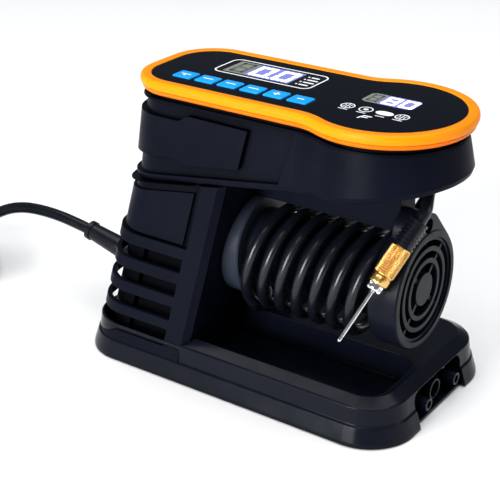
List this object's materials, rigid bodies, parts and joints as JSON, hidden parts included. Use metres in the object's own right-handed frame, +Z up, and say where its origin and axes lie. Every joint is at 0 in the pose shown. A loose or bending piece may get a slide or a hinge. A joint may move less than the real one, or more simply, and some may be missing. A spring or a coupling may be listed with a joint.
{
  "type": "electric inflation pump",
  "caption": "Small electric inflation pump with a raked column, an overhanging control head, a drum wound with air hose, a needle chuck and a mains lead.",
  "frame": {"origin": "centre of the footprint on the surface the pump stands on, without its lead", "axes": "+Z up, +X from the column towards the free end of the drum, near side at -Y"},
  "size_m": [0.464, 0.1831, 0.1853],
  "materials": {
    "body_plastic": "satin moulded, fine texture",
    "base_plastic": "satin moulded, fine texture",
    "drum_plastic": "semi-gloss moulded",
    "trim_orange": "smooth satin",
    "panel_gloss": "high gloss",
    "display_glass": "clear window over a dark display",
    "key_blue": "smooth",
    "foot_rubber": "matt",
    "hose_rubber": "smooth, glossy polyurethane",
    "cord_rubber": "satin",
    "air_tube": "clear silicone",
    "brass_gold": "knurled, polished",
    "chrome_steel": "polished",
    "bright_steel": "bright",
    "screw_steel": "zinc plated",
    "cast_alloy": "as cast",
    "motor_steel": "plated",
    "armature_copper": "lacquered winding",
    "gear_nylon": "natural nylon",
    "board_green": "solder mask",
    "component_dark": "moulded components",
    "tie_fabric": "hook and loop"
  },
  "bodies": {
    "housing": {"base_shell": "base_plastic", "base_plate": "base_plastic", "rubber_feet": "foot_rubber", "storage_rack": "base_plastic", "case_screws": "screw_steel", "column_near": "body_plastic", "column_far": "body_plastic", "window_panel": "body_plastic", "vent_liners": "body_plastic", "head_shell": "body_plastic", "label_plate": "body_plastic", "trim_bezel": "trim_orange", "lcd_main": "display_glass", "lcd_small": "display_glass", "control_panel": "panel_gloss", "key_board": "board_green", "control_board": "board_green", "pressure_sensor": "component_dark", "drum_boss": "drum_plastic", "drum_core": "drum_plastic", "end_cap": "drum_plastic", "end_grille": "drum_plastic", "drum_hanger": "body_plastic", "cap_screw": "bright_steel", "motor_can": "motor_steel", "motor_bearings": "bright_steel", "gear_axle": "bright_steel", "gearbox_frame": "cast_alloy", "cylinder": "cast_alloy", "cylinder_head": "cast_alloy", "inner_air_tube": "air_tube", "power_board": "board_green", "transformer_and_capacitors": "component_dark", "air_hose": "hose_rubber", "hose_fitting": "brass_gold", "hose_collar": "hose_rubber", "cord_strain_relief": "cord_rubber", "power_cord": "cord_rubber", "cord_coil": "cord_rubber", "cord_tie": "tie_fabric", "plug_body": "cord_rubber", "plug_blades": "bright_steel"},
    "rotor": {"motor_shaft": "bright_steel", "motor_armature": "armature_copper", "cooling_fan": "component_dark", "drive_pinion": "bright_steel"},
    "crank": {"crank_gear": "gear_nylon"},
    "piston_group": {"piston": "cast_alloy", "piston_ring": "foot_rubber", "piston_pin": "bright_steel", "connecting_rod": "cast_alloy"},
    "chuck": {"chuck_body": "brass_gold", "chuck_jaw": "chrome_steel", "ball_needle": "bright_steel"},
    "key_1": {"button_1": "key_blue"},
    "key_2": {"button_2": "key_blue"},
    "key_3": {"button_3": "key_blue"},
    "key_4": {"button_4": "key_blue"},
    "key_5": {"button_5": "key_blue"},
    "key_6": {"button_6": "key_blue"}
  },
  "joints": [
    {"name": "motor_spin", "type": "hinge", "parent": "housing", "child": "rotor", "pos_m": [0, 0, 0.0765], "axis": [1, 0, 0], "continuous": true},
    {"name": "gear_spin", "type": "hinge", "parent": "housing", "child": "crank", "pos_m": [-0.0505, 0, 0.0445], "axis": [1, 0, 0], "continuous": true},
    {"name": "piston_slide", "type": "slide", "parent": "housing", "child": "piston_group", "axis": [0, 0, -1], "range_m": [0, 0.012]},
    {"name": "chuck_spin", "type": "hinge", "parent": "housing", "child": "chuck", "pos_m": [0.09322, -0.03226, 0.10614], "axis": [-0.2621, -0.6021, -0.7542], "continuous": true},
    {"name": "key_1_press", "type": "slide", "parent": "housing", "child": "key_1", "axis": [0, 0, -1], "range_m": [0, 0.0008], "stiffness_N_per_m": 400, "springref_m": -0.0002},
    {"name": "key_2_press", "type": "slide", "parent": "housing", "child": "key_2", "axis": [0, 0, -1], "range_m": [0, 0.0008], "stiffness_N_per_m": 400, "springref_m": -0.0002},
    {"name": "key_3_press", "type": "slide", "parent": "housing", "child": "key_3", "axis": [0, 0, -1], "range_m": [0, 0.0008], "stiffness_N_per_m": 400, "springref_m": -0.0002},
    {"name": "key_4_press", "type": "slide", "parent": "housing", "child": "key_4", "axis": [0, 0, -1], "range_m": [0, 0.0008], "stiffness_N_per_m": 400, "springref_m": -0.0002},
    {"name": "key_5_press", "type": "slide", "parent": "housing", "child": "key_5", "axis": [0, 0, -1], "range_m": [0, 0.0008], "stiffness_N_per_m": 400, "springref_m": -0.0002},
    {"name": "key_6_press", "type": "slide", "parent": "housing", "child": "key_6", "axis": [0, 0, -1], "range_m": [0, 0.0008], "stiffness_N_per_m": 400, "springref_m": -0.0002}
  ],
  "couplings": [
    {"joint": "gear_spin", "follows": "motor_spin", "ratio": -0.33333}
  ]
}
